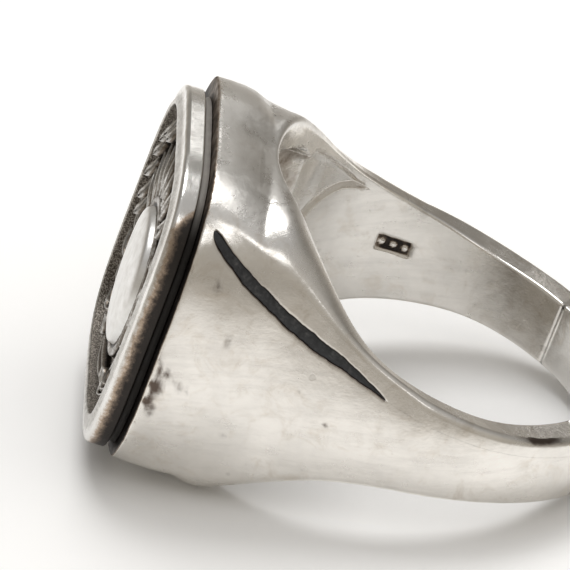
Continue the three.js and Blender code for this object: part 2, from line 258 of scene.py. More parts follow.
def bezier(p0, p1, p2, steps):
    """Rows of points from p0 to p2, bent towards p1."""
    t = np.linspace(0, 1, steps)[:, None, None]
    return (1 - t) ** 2 * p0 + 2 * t * (1 - t) * p1 + t ** 2 * p2


# ------------------------------------------------------------------ cast body
TOP_Z = HEAD_TOP - TOP_ROUND
WALL_ANGLE = math.degrees(math.asin(POCKET_X / (BORE - BORE_EASE + 0.012)))


def rows_of_body():
    """Angles of the rows from the face's middle to the seam, and the height of each."""
    ridge_z = np.linspace(TOP_Z, 0, 400)
    ridge = shoulder(ridge_z)
    start = np.degrees(np.arctan2(ridge[:, 0] - RIDGE_ROUND, ridge_z))
    corner = start[0]
    head = np.linspace(0, corner, 34)
    # extra rows where the inlaid line ends, and close-set rows over the hollow's end wall
    reach = 0.45
    line_end = np.interp([-11.97, -11.93, -11.88, -11.82], -ridge_z, start)
    first = np.sort(np.append(np.linspace(corner, WALL_ANGLE - reach, 20)[1:], line_end))
    cluster = WALL_ANGLE + np.array([-0.3, -0.2, -0.1, 0.0, 0.1, 0.2, 0.3, reach])
    rest = np.linspace(WALL_ANGLE + reach, 90, 74)[1:]
    back = np.linspace(90, SEAM_ANGLE - SEAM_GAP, 38)[1:]
    angles = np.concatenate([head, first, cluster, rest, back])
    heights = np.interp(angles, start, ridge_z)
    return angles, heights, corner


ANGLES, HEIGHTS, CORNER = rows_of_body()


def side_land(angle):
    """Inner edge, in y, of the land along the bore's side."""
    return np.interp(angle, [0, 23.5, 34, 41, 42.6, 44, 50, 56, 64, 72],
                     [6.2, 6.12, 5.75, 5.2, 5.0, 5.45, 5.05, 4.5, 3.8, 3.07])


def half_columns(angle, edge):
    """Columns in y from the middle to the bore's edge, close-set at the edges of both lands."""
    tongue = np.interp(angle, [48, 48.6, 51, 55, 61.5, 72], [0, 0.6, 1.3, 2.3, 3.0, 3.05])
    beyond = smooth(68, 84, angle)
    land = np.minimum(side_land(angle), edge - 0.5) * (1 - beyond) + 0.82 * edge * beyond
    tongue = np.maximum(tongue, 0.4) * (1 - beyond) + 0.68 * edge * beyond
    tongue = np.minimum(tongue, land - 0.16)
    w = 0.08
    return np.concatenate([
        np.linspace(0, tongue - w, 20, endpoint=False),
        np.linspace(tongue - w, tongue + w, 5, endpoint=False),
        np.linspace(tongue + w, land - w, 16, endpoint=False),
        np.linspace(land - w, land + w, 8, endpoint=False),
        np.linspace(land + w, edge, 10),
    ])


def tongue_distance(u, y):
    """Distance outside the tongue land's outline, with u the arc length along the bore."""
    angle = np.array([72, 68, 64, 61.5, 58, 55, 53, 51, 49.6, 48.6, 48.1, 48.0])
    half = np.array([3.12, 3.1, 3.05, 3.0, 2.72, 2.3, 1.88, 1.36, 0.92, 0.55, 0.25, 0.0])
    line = np.stack([np.radians(angle) * BORE, half], -1)
    best = np.full(u.shape, 1e9)
    for a, b in zip(line[:-1], line[1:]):
        d = b - a
        t = np.clip(((u - a[0]) * d[0] + (y - a[1]) * d[1]) / (d @ d), 0, 1)
        best = np.minimum(best, np.hypot(u - a[0] - t * d[0], y - a[1] - t * d[1]))
    inside = (u > line[-1, 0]) & (y < np.interp(u, line[::-1, 0], line[::-1, 1]))
    return np.where(inside, -best, best)


def stamp_mask(u, y):
    """Small blank cartouche struck in the bore's -X wall: 1 in its floor, lower on its pellets."""
    along = u - STAMP_AT[0]
    lean = y - STAMP_AT[1] + 0.06 * along
    field = smooth(0.95, 0.82, np.abs(along)) * smooth(0.44, 0.33, np.abs(lean))
    pellets = np.zeros_like(field)
    for centre in (-0.6, 0.0, 0.6):
        pellets = np.maximum(pellets, smooth(0.2, 0.1, np.hypot(along - centre, lean)))
    return field * (1 - 0.8 * pellets)


def bore_surface(angle, y, mirror):
    """Points of the bore's wall, with the hollow behind the head, their grime and painted shade,
    and their rougher finish, which also paints shade.
    """
    u, size = np.radians(angle) * BORE, np.abs(y)
    from_land = side_land(angle) + 0.05 * wave(angle, 1.3, 5.0) - size
    outside = np.minimum(from_land, tongue_distance(u, size))
    recess = smooth(-0.05, 0.34, outside) * smooth(73, 66, angle)
    row = np.clip((WALL_ANGLE + 0.32 - angle) / 0.62, 0, 1)
    col = np.clip((from_land + 0.07) / 0.14, 0, 1)
    pocket = np.minimum(row, col)
    r = bore_radius(angle) + RECESS_DEPTH * recess * (0.8 + 0.2 * wave(u, 2.0, 2.0)) * (1 - row)
    if mirror:
        r = r + STAMP_DEPTH * stamp_mask(u, y)
    sin, cos = np.sin(np.radians(angle)), np.cos(np.radians(angle))
    x, z = r * sin, r * cos
    roof = POCKET_ROOF + 0.05 * wave(x + 0.7 * y, 0.4, 3.0)
    x = np.where(pocket > 0, np.minimum(x, POCKET_X + 0.3), x)
    z = z + pocket * (roof - z)
    fade = smooth(74, 68, angle)
    # painted shade, with some grime: dark lines along the steps of the hollow, a dark band at the
    # foot of its end wall, a darker strip on the land along its edge, and the stamp's dark floor
    dirt = 0.62 * np.exp(-((outside - 0.05) / 0.12) ** 2) * fade \
        * (0.75 + 0.35 * wave(u + y, 3.0, 1.4))
    dirt = np.maximum(dirt, 0.6 * np.exp(-((angle - WALL_ANGLE) / 0.9) ** 2) * (from_land > 0))
    dirt = np.maximum(dirt, 0.42 * smooth(-0.4, -0.1, outside) * smooth(0.12, 0.0, outside) * fade)
    if mirror:
        dirt = np.maximum(dirt, 0.95 * stamp_mask(u, y))
    # a rougher finish in the hollow, which also darkens its colour as painted shade
    satin = 0.35 * smooth(0.0, 0.3, outside) * fade
    return np.stack([x, y, z], -1), dirt, satin


def side_width(angle, x, z, far):
    """Half width of the side face at (x, z), for rows of the head and of the shank."""
    return np.where(angle <= 90.0, side_y(x, np.maximum(z, 0), None, far),
                    side_y(x, z, np.maximum(angle, 90) + 0 * x, far))


def bore_half(mirror):
    """Rows of the bore on one side of x = 0, and the grime with painted shade and the rougher
    finish of their points.
    """
    rad = np.radians(ANGLES)
    x, z = bore_radius(ANGLES) * np.sin(rad), bore_radius(ANGLES) * np.cos(rad)
    edges = {upper: side_width(ANGLES, x, z, mirror and upper) - EDGE_ROUND
             for upper in (True, False)}
    rows = []
    for k, angle in enumerate(ANGLES):
        halves = {upper: half_columns(angle, edge[k]) for upper, edge in edges.items()}
        y = np.concatenate([-halves[False][:0:-1], halves[True]])
        rows.append(bore_surface(np.full_like(y, angle), y, mirror))
    points, dirt, satin = (np.stack(part) for part in zip(*rows))
    return points * np.array([-1.0 if mirror else 1.0, 1, 1]), dirt, satin


def side_rows(upper, far, steps=22):
    """Rounded bore edge and side face; each row ends before the ridge or the head's top."""
    rad = np.radians(ANGLES)
    sin, cos = np.sin(rad), np.cos(rad)
    end_r = np.empty_like(ANGLES)
    for i, angle in enumerate(ANGLES):
        if angle <= CORNER + 1e-9:
            end_r[i] = TOP_Z / cos[i]
        elif angle <= 90.0:
            end_r[i] = math.hypot(shoulder(HEIGHTS[i])[0] - RIDGE_ROUND, HEIGHTS[i])
        else:
            end_r[i] = shank(angle)[0] - RIDGE_ROUND
    t = np.linspace(0, 1, steps) ** 1.1
    start = bore_radius(ANGLES)[:, None] + EDGE_ROUND
    r = start + (end_r[:, None] - start) * t
    x, z = r * sin[:, None], r * cos[:, None]
    face = np.stack([x, side_width(ANGLES[:, None], x, z, far), z], -1)
    ex, ez = bore_radius(ANGLES) * sin, bore_radius(ANGLES) * cos
    ey = side_width(ANGLES, ex, ez, far)
    arc = bezier(np.stack([ex, ey - EDGE_ROUND, ez], -1), np.stack([ex, ey, ez], -1), face[:, 0], 5)
    rows = np.concatenate([arc[:-1].transpose(1, 0, 2), face], axis=1)
    return rows if upper else rows * np.array([1, -1, 1])


def row_shape(height, angle):
    """Shape values of one row: by height on the head, by angle on the shank."""
    return shoulder(height) if angle <= 90.0 else shank(angle)


def outer_columns(height, angle, lift=0.0):
    """One row of the outer face: columns in y from the +Y ridge to the -Y ridge, their depth in
    the inlaid line's groove, the row's shape, and the line's middle and half width."""
    params, on_head = row_shape(height, angle), angle <= 90.0
    rx, ry, cx, _, _, bow = params
    slope = (cx - rx) * bow / ry
    y_end = ry - RIDGE_ROUND / math.sqrt(1 + slope ** 2)
    low, high = INLAY_LINE[0, 0], INLAY_LINE[-1, 0]
    inside = on_head and low < height < high
    mid, half = INLAY_LINE[0, 1] * y_end / (shoulder(low)[1] - RIDGE_ROUND), 0.02
    if inside:
        mid, half = inlay_line(height)
        mid = mid + 0.03 * wave(height, 0.7, 0.55)
    elif on_head and height >= high:
        mid = 6.17 + (height - 11.9) * 0.6
    half = max(0.02, half * (1 + 0.09 * wave(height, 4.2, 0.35)))
    y = np.concatenate([
        np.linspace(y_end + lift, mid + half + INLAY_LIP, 9, endpoint=False),
        [mid + half + INLAY_LIP, mid + half, mid + half - 0.012, mid + half * 0.9 - 0.012],
        np.linspace(mid + half * 0.6, mid - half * 0.6, 5),
        [mid - half * 0.9 + 0.012, mid - half + 0.012, mid - half, mid - half - INLAY_LIP],
        np.linspace(mid - half - INLAY_LIP, 0, 16)[1:-1],
        np.linspace(0, -y_end, 22),
    ])
    depth = np.zeros_like(y)
    if inside:
        depth[9:22] = INLAY_DEPTH * np.array([0, .06, .75, 1, 1, 1, 1, 1, 1, 1, .75, .06, 0])
        depth *= smooth(low, low + 0.25, height) * smooth(high, high - 0.15, height)
    return y, depth, params, mid, half


def surface_point(y, params, height, angle, depth=0.0, lift=0.0):
    """Points of one row of the outer face, pushed in by depth along x or along the radius."""
    x = outer_x(y, params, lift) - depth
    if angle <= 90.0:
        return np.stack([x, y, np.full_like(y, height)], -1)
    rad = math.radians(angle)
    return np.stack([x * math.sin(rad), y, x * math.cos(rad)], -1)


def outer_rows(k_from, far):
    """Rows of the outer face, and how dark the inlaid line's groove and lips are."""
    rows, groove = [], []
    for angle, height in zip(ANGLES[k_from:], HEIGHTS[k_from:]):
        lift = float(lift_of(height, angle, far))
        y, depth, params, *_ = outer_columns(height, angle, lift)
        rows.append(surface_point(y, params, height, angle, depth, lift))
        lips = np.zeros_like(depth)
        lips[[9, 10, 20, 21]] = 0.3, 0.95, 0.95, 0.3
        groove.append(np.maximum(depth / INLAY_DEPTH, lips * (np.max(depth) > 0.1)))
    return np.stack(rows), np.stack(groove)


def ridge_points(k_from, far):
    """Where the side face and the outer face would meet, before the ridge is rounded."""
    pts = []
    for angle, height in zip(ANGLES[k_from:], HEIGHTS[k_from:]):
        params = row_shape(height, angle)
        lift = float(lift_of(height, angle, far))
        y = np.array([params[1] + lift])
        pts.append(surface_point(y, params, height, angle, 0.0, lift)[0])
    return np.stack(pts)


def stain_mask(points, spots):
    """Dark smudges of the +X side, round spots of (y, z, half size in y and in z, strength)."""
    value = np.zeros(points.shape[:-1])
    for y, z, wide, high, strength in spots:
        d = np.hypot((points[..., 1] - y) / wide, (points[..., 2] - z) / high)
        value = np.maximum(value, strength * np.exp(-d ** 2))
    return value * (points[..., 0] > 0)


STAINS = [
    (-1.1, 12.35, 0.85, 0.3, 1.15), (-1.75, 12.1, 0.55, 0.4, 1.0), (-0.9, 11.75, 0.35, 0.25, 0.7),
    (-1.45, 11.0, 0.4, 0.14, 0.62), (-1.2, 11.25, 0.12, 0.3, 0.5), (-1.5, 10.65, 0.3, 0.14, 0.7),
    (-2.6, 12.25, 0.6, 0.3, 0.9), (-3.1, 11.85, 0.4, 0.22, 0.7), (-3.7, 12.35, 0.5, 0.14, 0.6),
    (-4.5, 12.4, 0.3, 0.1, 0.55), (4.04, 10.95, 0.3, 0.25, 0.55), (-0.47, 4.05, 0.12, 0.16, 0.7),
    (1.6, 9.6, 0.5, 0.25, 0.4), (-3.2, 8.2, 0.14, 0.2, 0.5), (0.6, 5.7, 0.1, 0.12, 0.5),
    (1.8, -6.1, 0.2, 0.95, 1.25),
]


def build_body():
    shell = Shell("dirt", "satin", "groove", "stain")
    corner_k = int(np.argmin(np.abs(ANGLES - CORNER)))
    top_loops = {}
    for sign in (1.0, -1.0):
        flip = np.array([sign, 1, 1])
        bore, dirt, satin = bore_half(sign < 0)
        shell.grid(bore, dirt=dirt, satin=satin)
        sides = {}
        for upper in (True, False):
            rows = side_rows(upper, upper and sign < 0) * flip
            # a rougher finish on the side faces near the head, which also darkens their colour as
            # painted shade, less on the -Y side
            shade = 1.0 if upper else 0.6
            shell.grid(rows, satin=shade * smooth(60, 20, ANGLES)[:, None])
            sides[upper] = rows
        outer, groove = outer_rows(corner_k, sign < 0)
        outer = outer * flip
        ridges = {True: ridge_points(corner_k, sign < 0) * flip,
                  False: ridge_points(corner_k, False) * flip}
        ridge_tops = {}
        for upper in (True, False):
            start = sides[upper][corner_k:, -1]
            middle = ridges[upper] * np.array([1, 1 if upper else -1, 1])
            end = outer[:, 0] if upper else outer[:, -1]
            arc = bezier(start, middle, end, 8).transpose(1, 0, 2)
            shell.grid(arc, stain=stain_mask(arc, STAINS))
            ridge_tops[upper] = arc[0]
        # painted shade: a dark band along the top of the outer face, under the plate's edge
        near = np.exp(-((outer[..., 2] - HEAD_TOP) / 0.22) ** 2)
        shell.grid(outer, groove=groove, dirt=0.8 * near, stain=stain_mask(outer, STAINS))
        # top outline on this half, from the middle of +Y round to the middle of -Y
        side_a, side_b = (sides[upper][:corner_k + 1, -1] for upper in (True, False))
        top_loops[sign] = np.concatenate([side_a, ridge_tops[True][1:], outer[0, 1:],
                                          ridge_tops[False][::-1][1:], side_b[::-1][1:]])
        # end of the cast body at the solder seam
        upper_arc = bezier(sides[True][-1:, -1], ridges[True][-1:], outer[-1:, 0], 8)[1:, 0]
        lower_arc = bezier(outer[-1:, -1], ridges[False][-1:] * np.array([1, -1, 1]),
                           sides[False][-1:, -1], 8)[1:, 0]
        last = np.concatenate([bore[-1], sides[True][-1, 1:], upper_arc, outer[-1, 1:], lower_arc,
                               sides[False][-1, ::-1][1:-1]])
        shell.cap(last, 2, dirt=0.45)
    add_head_top(shell, np.concatenate([top_loops[1.0], top_loops[-1.0][::-1][1:-1]]))
    return shell.build("body_cast")


def add_head_top(shell, loop):
    """Rounded top edge and flat top of the head, blackened with oxide and painted shade under the
    plate, with the +Y edge painted lighter where light falls.
    """
    loop = np.concatenate([loop, loop[:1]])
    rings = [loop]
    for turn in np.radians([22.5, 45, 67.5, 90]):
        inset = TOP_ROUND * (1 - math.cos(turn))
        radial = loop * np.array([1, 1, 0])
        ring = radial * (1 - inset / np.linalg.norm(radial, axis=1, keepdims=True))
        ring[:, 2] = TOP_Z + TOP_ROUND * math.sin(turn)
        rings.append(ring)
    for scale in (0.97, 0.9, 0.6, 0.3, 0.0):
        rings.append(rings[4] * np.array([scale, scale, 1]))
    # painted light: the black is lighter along the +Y side, where light falls into the groove
    lit_edge = lit_side(np.degrees(np.arctan2(loop[:, 1], loop[:, 0])))
    black = np.array([0.15, 0.4, 0.8] + 7 * [1.0])[:, None]
    lighter = np.array([0.5, 0.72, 0.8] + 7 * [0.82])[:, None]
    shell.grid(np.stack(rings), dirt=black * (1 - lit_edge) + lighter * lit_edge)


def build_back_section():
    shell = Shell("dirt", "satin", "groove", "stain")
    angles = np.linspace(SEAM_ANGLE + SEAM_GAP, 360 - SEAM_ANGLE - SEAM_GAP, 60)
    rx, ry, cx, ey, _, bow = shank(SEAM_ANGLE)
    e, r = EDGE_ROUND, RIDGE_ROUND
    y_end = ry - r / math.sqrt(1 + ((cx - rx) * bow / ry) ** 2)
    y = np.linspace(y_end, -y_end, 34)
    outer = np.stack([outer_x(y, (rx, ry, cx, ey, 1.0, bow)), y], -1)

    def arc(a, b, c, n):
        return bezier(np.array([a]), np.array([b]), np.array([c]), n)[:, 0]
    side = [np.array([x, ry]) for x in np.linspace(BORE + e, rx - r, 6)]
    top = np.concatenate([arc([BORE, ey - e], [BORE, ey], [BORE + e, ey], 5), side[1:-1],
                          arc([rx - r, ry], [rx, ry], outer[0], 7), outer[1:17]])
    bottom = top[::-1] * np.array([1, -1])
    inner = np.stack([np.full(24, BORE), np.linspace(-(ey - e), ey - e, 24)], -1)[1:-1]
    section = np.concatenate([top, bottom, inner])
    rad = np.radians(angles)[:, None]
    x = section[:, 0] * np.sin(rad)
    z = section[:, 0] * np.cos(rad)
    grid = np.stack([x, np.broadcast_to(section[:, 1], x.shape), z], -1)
    shell.grid(grid, wrap=True)
    for end in (grid[0], grid[-1]):
        shell.cap(end, 2, dirt=0.45)
    return shell.build("back_section")


def build_inlay(sign, name):
    """Dark filling of the line on one shoulder: a low rough strip between the groove's walls."""
    low, high = INLAY_LINE[0, 0], INLAY_LINE[-1, 0]
    t = np.linspace(-1, 1, 11)
    rows = []
    for height in np.linspace(low + 0.03, high - 0.03, 150):
        _, _, params, mid, half = outer_columns(height, 0)
        ends = smooth(low, low + 0.3, height) * smooth(high, high - 0.2, height)
        y_top = mid - t * max(half - 0.012, 0.008)
        sunk = 0.07 - 0.03 * (1 - t ** 2) + 0.02 * wave(height + 3 * t, 2.2, 0.4)
        sunk = 0.015 + (sunk - 0.015) * ends
        top = surface_point(y_top, params, height, 0, sunk)
        base = surface_point(y_top[::-1], params, height, 0, 0.04 + 0.28 * ends)
        rows.append(np.concatenate([top, base]))
    shell = Shell()
    grid = np.stack(rows) * np.array([sign, 1, 1])
    shell.grid(grid, wrap=True)
    for end in (grid[0], grid[-1]):
        shell.cap(end)
    return shell.build(name, weld=0.0003)


# ------------------------------------------------------------------ face plate
PLATE = dict(a=8.15, b=7.65, n=3.8, y=-0.1, bottom=12.92, top=PLATE_TOP)
TRAY_FLOOR = 13.3


def superellipse(a, b, n, count):
    """Outline points, evenly spread by arc length."""
    t = np.linspace(0, 2 * math.pi, 4001)
    c, s = np.cos(t), np.sin(t)
    x = a * np.sign(c) * np.abs(c) ** (2 / n)
    y = b * np.sign(s) * np.abs(s) ** (2 / n)
    length = np.concatenate([[0], np.cumsum(np.hypot(np.diff(x), np.diff(y)))])
    at = np.linspace(0, length[-1], count + 1)[:-1]
    return np.stack([np.interp(at, length, x), np.interp(at, length, y)], -1)


def ring_stack(profile, count):
    """Closed rings round the plate from (inset, height) pairs; the -X rim is worn narrower."""
    rings = []
    for inset, height in profile:
        points = superellipse(PLATE["a"] - inset, PLATE["b"] - inset,
                              PLATE["n"] + 0.25 * max(0, inset - 0.5), count)
        x = points[:, 0] - 0.55 * smooth(0.4, 1.2, inset) * smooth(1, 6, -points[:, 0])
        z = np.full(count, height)
        rings.append(np.stack([x, points[:, 1] + PLATE["y"], z], -1))
    return np.stack(rings)


def build_plate():
    count = 360
    shell = Shell("patina", "dirt")
    t, b, f = PLATE["top"], PLATE["bottom"], TRAY_FLOOR
    shoulder_z = t - 0.16
    arc = [(0.26 * (1 - math.cos(u)), shoulder_z - 0.24 * (1 - math.sin(u)))
           for u in np.linspace(0, math.pi / 2, 9)]
    wall = [(0.0, h) for h in np.linspace(b + 0.06, shoulder_z - 0.24, 14)[:-1]]
    under = [(0.06, b), (0.02, b + 0.02)]
    rim = [(0.55, t - 0.1), (0.8, t - 0.04), (1.0, t), (1.1, t - 0.015)]
    inner = [(1.16, t - 0.05), (1.19, t - 0.1), (1.2, t - 0.2), (1.21, t - 0.32), (1.23, t - 0.45),
             (1.25, f + 0.12), (1.28, f + 0.04), (1.36, f)]
    profile = under + wall + arc + rim + inner
    rings = ring_stack(profile, count)
    rings[..., 2] += 0.012 * wave(rings[..., 0] * 1.1 + rings[..., 1] * 0.9, 1.9, 1.0) \
        * (rings[..., 2] > t - 0.3) * (rings[..., 2] < t - 0.01)
    height = rings[..., 2]
    outside = np.array([p[0] < 0.4 and p[1] < t - 0.12 for p in profile])[:, None]
    # the shadowed sides keep their black; the +Y side is polished clean
    turn = np.degrees(np.arctan2(rings[..., 1], rings[..., 0]))
    clean = smooth(36, 49, turn) * smooth(146, 134, turn)
    top_of_black = 13.48 + 0.05 * wave(turn, 1.1, 9.0) - 1.05 * clean
    patina = np.clip((top_of_black + 0.46 - height) / 0.72, 0, 1) * outside
    dirt = np.array([1.0 if p[0] > 1.17 else 0.5 if p[0] > 0.3 else 0.0 for p in profile])[:, None]
    shell.grid(rings, wrap=True, patina=patina, dirt=dirt + 0 * height)
    # punched ground of the tray: concentric rings with an uneven surface
    ground = []
    for k, scale in enumerate(np.linspace(1, 0, 46)):
        ring = rings[-1] * np.array([scale, scale, 1])
        x, y = ring[:, 0], ring[:, 1]
        bump = 0.035 * (np.sin(9.1 * x + 3 * np.sin(4.3 * y))
                        * np.sin(8.7 * y + 2.7 * np.sin(5.1 * x)))
        ring[:, 2] = f + bump * min(1, k / 3) * (scale > 0.001)
        ground.append(ring)
    shell.grid(np.stack(ground), wrap=True, dirt=1.0)
    bottom = rings[0]
    shell.grid(np.stack([bottom, bottom * np.array([0.6, 0.6, 1]), bottom * np.array([0, 0, 1])]),
               wrap=True, patina=1.0)
    return shell.build("plate", weld=0.0004)


def build_spacer():
    count = 200
    bottom, top = HEAD_TOP + 0.03, HEAD_TOP + 0.39
    profile = [(7.0, bottom), (4.0, bottom), (0.32, bottom), (0.25, bottom + 0.03),
               (0.33, bottom + 0.18), (0.26, top - 0.03), (0.32, top), (4.0, top), (7.0, top)]
    shell = Shell("worn")
    rings = ring_stack(profile, count)
    turn = np.degrees(np.arctan2(rings[..., 1], rings[..., 0]))
    # painted light: the worn values paint the spacer's black lighter along the +Y side, where light
    # falls into the groove
    shell.grid(rings, wrap=True, worn=lit_side(turn))
    for ring in (rings[0], rings[-1]):
        shell.grid(np.stack([ring, ring * np.array([0, 0, 1])]), wrap=True)
    return shell.build("spacer")


# ------------------------------------------------------------------ crest
# foot of every relief piece, the y of the crest's middle, points across one leaf
BASE = TRAY_FLOOR - 0.03
CREST_Y = -0.9
LEAF_COLUMNS = 17


def boss_outline(count, inset):
    """Outline of the boss, drawn in by inset."""
    t = np.linspace(0, 2 * math.pi, count, endpoint=False)
    up = np.sin(t)
    wide = (4.0 - inset) * (1 + 0.10 * up)
    x = wide * np.sign(np.cos(t)) * np.abs(np.cos(t)) ** 0.85
    y = CREST_Y + (3.9 - inset) * np.sign(up) * np.abs(up) ** 0.9
    return x, y


def build_boss():
    shell = Shell("dirt")
    profile = [(0.0, BASE), (0.0, 13.5), (0.03, 13.6), (0.1, 13.66), (0.25, 13.68), (0.38, 13.65),
               (0.44, 13.58), (0.5, 13.52), (0.56, 13.58), (0.6, 13.7), (0.66, 13.82)]
    for u in np.linspace(0.08, 1, 14):
        profile.append((0.66 + 3.24 * (1 - math.cos(u * math.pi / 2)),
                        13.82 + 0.43 * math.sin(u * math.pi / 2) ** 0.8))
    rings, dirt = [], []
    for inset, height in profile:
        x, y = boss_outline(96, inset)
        if inset > 3.5:
            scale = max(0.0, (3.9 - inset) / 0.4)
            x0, y0 = boss_outline(96, 3.5)
            x, y = x0 * scale, CREST_Y + (y0 - CREST_Y) * scale
        rings.append(np.stack([x, y, np.full(96, height)], -1))
        dirt.append(1.0 if 0.4 < inset < 0.58 or inset == 0 else 0.45 if inset < 0.4 else 0.0)
    grid = np.stack(rings)
    shell.grid(grid, wrap=True, dirt=np.array(dirt)[:, None])
    t = np.linspace(0, 1, 3)[:, None, None]
    shell.grid(grid[0] * (1 - t) + grid[0].mean(axis=0) * t, wrap=True, dirt=1.0)
    return shell.build("boss", weld=0.0004)


def leaf_grid(path, width, height, lift, hollow, tip_curl):
    """Closed leaf along a path of (x, y) points: a raised rim round a sunken middle."""
    path = np.asarray(path, float)
    n = len(path)
    t = np.linspace(0, 1, n)
    tangent = np.gradient(path, axis=0)
    tangent /= np.linalg.norm(tangent, axis=1, keepdims=True)
    normal = np.stack([-tangent[:, 1], tangent[:, 0]], -1)
    w = width * np.clip(np.sin(math.pi * t ** 0.8), 0.02, 1) ** 0.7
    s = np.linspace(-1, 1, LEAF_COLUMNS)
    top = height * (0.55 + 0.45 * np.sin(math.pi * (t * 0.9 + 0.05))) + lift
    rim = np.exp(-((np.abs(s) - 0.7) / 0.2) ** 2)
    cross = np.where(np.abs(s) < 0.7, 1 - hollow * (1 - rim), 0.35 + 0.65 * rim)
    z = BASE + (top + tip_curl * t ** 2)[:, None] * cross[None]
    xy = path[:, None] + normal[:, None] * (s[None, :, None] * w[:, None, None])
    upper = np.concatenate([xy, z[..., None]], -1)
    foot = np.concatenate([xy[:, ::-1], np.full((n, LEAF_COLUMNS, 1), BASE)], -1)
    return np.concatenate([upper, foot], axis=1)


def add_leaf(shell, path, width, height, lift, hollow, tip_curl=0.0):
    """Adds a leaf, darkened in its hollow, outside its rim and on its foot."""
    grid = leaf_grid(path, width, height, lift, hollow, tip_curl)
    s = np.abs(np.linspace(-1, 1, LEAF_COLUMNS))
    low = np.where(s < 0.7, min(1.0, 2.4 * hollow), 1.0) * (1 - np.exp(-((s - 0.7) / 0.15) ** 2))
    shell.grid(grid, wrap=True, dirt=np.concatenate([low, np.ones(LEAF_COLUMNS)])[None])
    for end in (grid[0], grid[-1]):
        shell.cap(end, dirt=0.8)


def curve_path(start, end, bend, n=14):
    """Path of n points that bows sideways by bend times its length."""
    start, end = np.asarray(start, float), np.asarray(end, float)
    t = np.linspace(0, 1, n)[:, None]
    axis = end - start
    side = np.array([-axis[1], axis[0]])
    return start + axis * t + side * bend * np.sin(math.pi * t)


def polar(radius, degrees):
    """Point round the middle of the crest."""
    a = math.radians(degrees)
    return np.array([radius * math.cos(a), CREST_Y + radius * math.sin(a)])


# tips of the loose curls beside the plume
PLUME_CURLS = [(-6.05, 1.6), (-5.55, 0.6), (-4.75, 0.1), (-5.75, 2.9), (-5.3, 3.9), (-4.5, 4.6),
               (-3.3, 4.9)]


def build_plume():
    shell = Shell("dirt")
    for i in range(8):
        lean = 58 + i * 13.5
        reach = 6.55 + 0.35 * math.cos(math.radians(2 * (lean - 90)))
        root, tip = polar(4.05, lean + 5), polar(reach, lean - 5)
        path = curve_path(root, tip, -0.16 - 0.02 * i)
        add_leaf(shell, path, 0.36, 0.55, 0.03 + 0.01 * i, hollow=0.6, tip_curl=0.1)
    for x, y in PLUME_CURLS:
        path = curve_path((x + 0.3, y + 1.35), (x, y), 0.22)
        add_leaf(shell, path, 0.34, 0.62, 0.1, hollow=0.75, tip_curl=0.42)
    return shell.build("feather_plume", weld=0.0003)


def build_spray(sign, name):
    shell = Shell("dirt")
    stem = np.array([polar(4.85, a) for a in np.linspace(-62, 34, 30)]) * np.array([sign, 1])
    add_leaf(shell, stem, 0.14, 0.3, 0.1, hollow=0.0)
    for i in range(7):
        angle = -60 + i * 14.5
        root, tip = polar(4.85, angle), polar(6.0 + 0.25 * (i % 2), angle + 13)
        path = curve_path(root, tip, -0.22) * np.array([sign, 1])
        add_leaf(shell, path, 0.27, 0.46 + 0.1 * (i % 2), 0.05, hollow=0.5, tip_curl=0.08)
    return shell.build(name, weld=0.0003)


def build_scroll():
    shell = Shell("dirt")
    ribbon = np.array([[x, -5.55 - 0.1 * math.cos(x * 0.6)] for x in np.linspace(-2.9, 2.9, 30)])
    add_leaf(shell, ribbon, 0.42, 0.42, 0.08, hollow=0.4)
    for side in (-1, 1):
        curl = []
        for u in np.linspace(0, 1, 26):
            a = math.radians(-90 + 400 * u)
            r = 0.62 * (1 - 0.72 * u)
            curl.append([side * (2.75 + r * math.cos(a)), -5.2 + r * math.sin(a)])
        add_leaf(shell, curl, 0.17, 0.55, 0.08, hollow=0.2)
    return shell.build("ribbon_scroll", weld=0.0003)


# ------------------------------------------------------------------ materials
def fill_ramp(node, stops):
    """Sets a ramp node's (position, colour) stops and gives its colour output."""
    elements = node.color_ramp.elements
    while len(elements) < len(stops):
        elements.new(0.5)
    for element, (at, colour) in zip(elements, stops):
        element.position = at
        element.color = (*colour, 1)
    return node.outputs["Color"]


